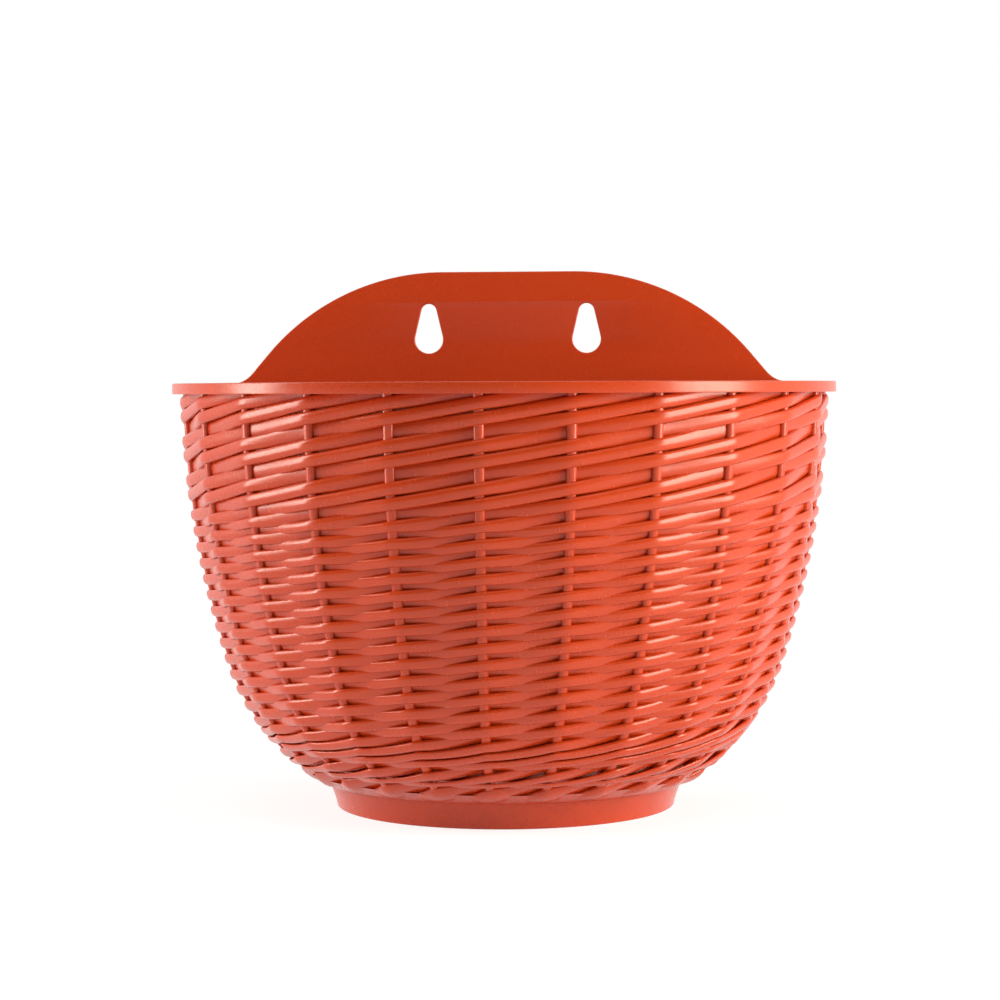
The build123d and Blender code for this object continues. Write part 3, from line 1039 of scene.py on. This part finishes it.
def studio_world():
    """A world that looks white, lights the planter evenly and is darker in front where it is mirrored."""
    world = bpy.data.worlds.new("studio")
    world.use_nodes = True
    graph = Graph(world.node_tree)
    world.node_tree.nodes.clear()
    path = graph.add("ShaderNodeLightPath")
    camera, glossy, through = (
        Value(graph, path.outputs[ray]) for ray in ("Is Camera Ray", "Is Glossy Ray", "Is Transmission Ray")
    )
    mirrored = graph.maths("MAXIMUM", glossy, through)
    sight = graph.add("ShaderNodeSeparateXYZ", None, {0: graph.out("ShaderNodeTexCoord")})
    behind = graph.maths("MULTIPLY_ADD", Value(graph, sight.outputs[1]), SKY_SLOPE, SKY_LEVEL)
    behind = graph.maths("MINIMUM", graph.maths("MAXIMUM", behind, SKY_DARKEST), 1.0)
    light = mirrored * behind + (1 - mirrored) * SKY_LIGHT
    light = graph.maths("MAXIMUM", light, camera)
    sky = graph.out("ShaderNodeBackground", None, {"Color": WHITE, "Strength": light})
    graph.add("ShaderNodeOutputWorld", None, {0: sky})
    return world


def studio_camera(axis_y):
    """A level camera in front of the basket, turned a little round the basket's axis."""
    camera = bpy.data.cameras.new("camera")
    camera_object = new_object("camera", camera)
    aside, away = CAMERA_TURN, CAMERA_DISTANCE
    camera_object.location = (away * sin(aside), axis_y - away * cos(aside), CAMERA_HEIGHT)
    level = Matrix.Rotation(aside, 4, "Z") @ Matrix.Rotation(pi / 2, 4, "X")
    camera_object.rotation_euler = (level @ Matrix.Rotation(CAMERA_ROLL, 4, "Z")).to_euler()
    camera.sensor_width = SENSOR_WIDTH
    camera.lens = SENSOR_WIDTH * LENS_SHARE
    camera.shift_x, camera.shift_y = CAMERA_SHIFT
    camera.clip_start = CAMERA_CLIP
    return camera_object


class PLANTER_OT_stage(bpy.types.Operator):
    """Makes the white floor, the world, the studio lamps and the camera"""

    bl_idname = "planter.stage"
    bl_label = "Make Studio"

    def execute(self, context):
        scene = context.scene
        studio_floor(scene.planter.finish.floor)
        scene.world = studio_world()
        for lamp in LAMPS:
            soft_box(*lamp)
        scene.camera = studio_camera(Side(scene.planter.shell).axis_y)
        scene.view_settings.view_transform = "Standard"
        return {"FINISHED"}


class PLANTER_PT_panel(bpy.types.Panel):
    """Lists the planter's sizes, colours and pieces"""

    bl_idname = "PLANTER_PT_panel"
    bl_label = "Woven Wall Planter"
    bl_space_type = "VIEW_3D"
    bl_region_type = "UI"
    bl_category = "Planter"

    def draw(self, context):
        planter = context.scene.planter
        for operator in OPERATORS:
            self.layout.operator(operator.bl_idname)
        for group in (planter.shell, planter.weave, planter.finish):
            box = self.layout.box()
            for name in group.bl_rna.properties.keys():
                if name not in ("name", "rna_type"):
                    box.prop(group, name)


GROUPS = (PLANTER_PG_shell, PLANTER_PG_weave, PLANTER_PG_finish, PLANTER_PG_all)
OPERATORS = (
    PLANTER_OT_tub,
    PLANTER_OT_rim,
    PLANTER_OT_foot,
    PLANTER_OT_plate,
    PLANTER_OT_stakes,
    PLANTER_OT_strands,
    PLANTER_OT_stage,
)
CLASSES = GROUPS + OPERATORS + (PLANTER_PT_panel,)


def register():
    for item in CLASSES:
        bpy.utils.register_class(item)
    bpy.types.Scene.planter = PointerProperty(type=PLANTER_PG_all)


def unregister():
    del bpy.types.Scene.planter
    for item in reversed(CLASSES):
        bpy.utils.unregister_class(item)


def main():
    register()
    bpy.ops.planter.tub()
    bpy.ops.planter.rim()
    bpy.ops.planter.foot()
    bpy.ops.planter.plate()
    bpy.ops.planter.stakes()
    bpy.ops.planter.strands()
    bpy.ops.planter.stage()


if __name__ == "__main__":
    main()
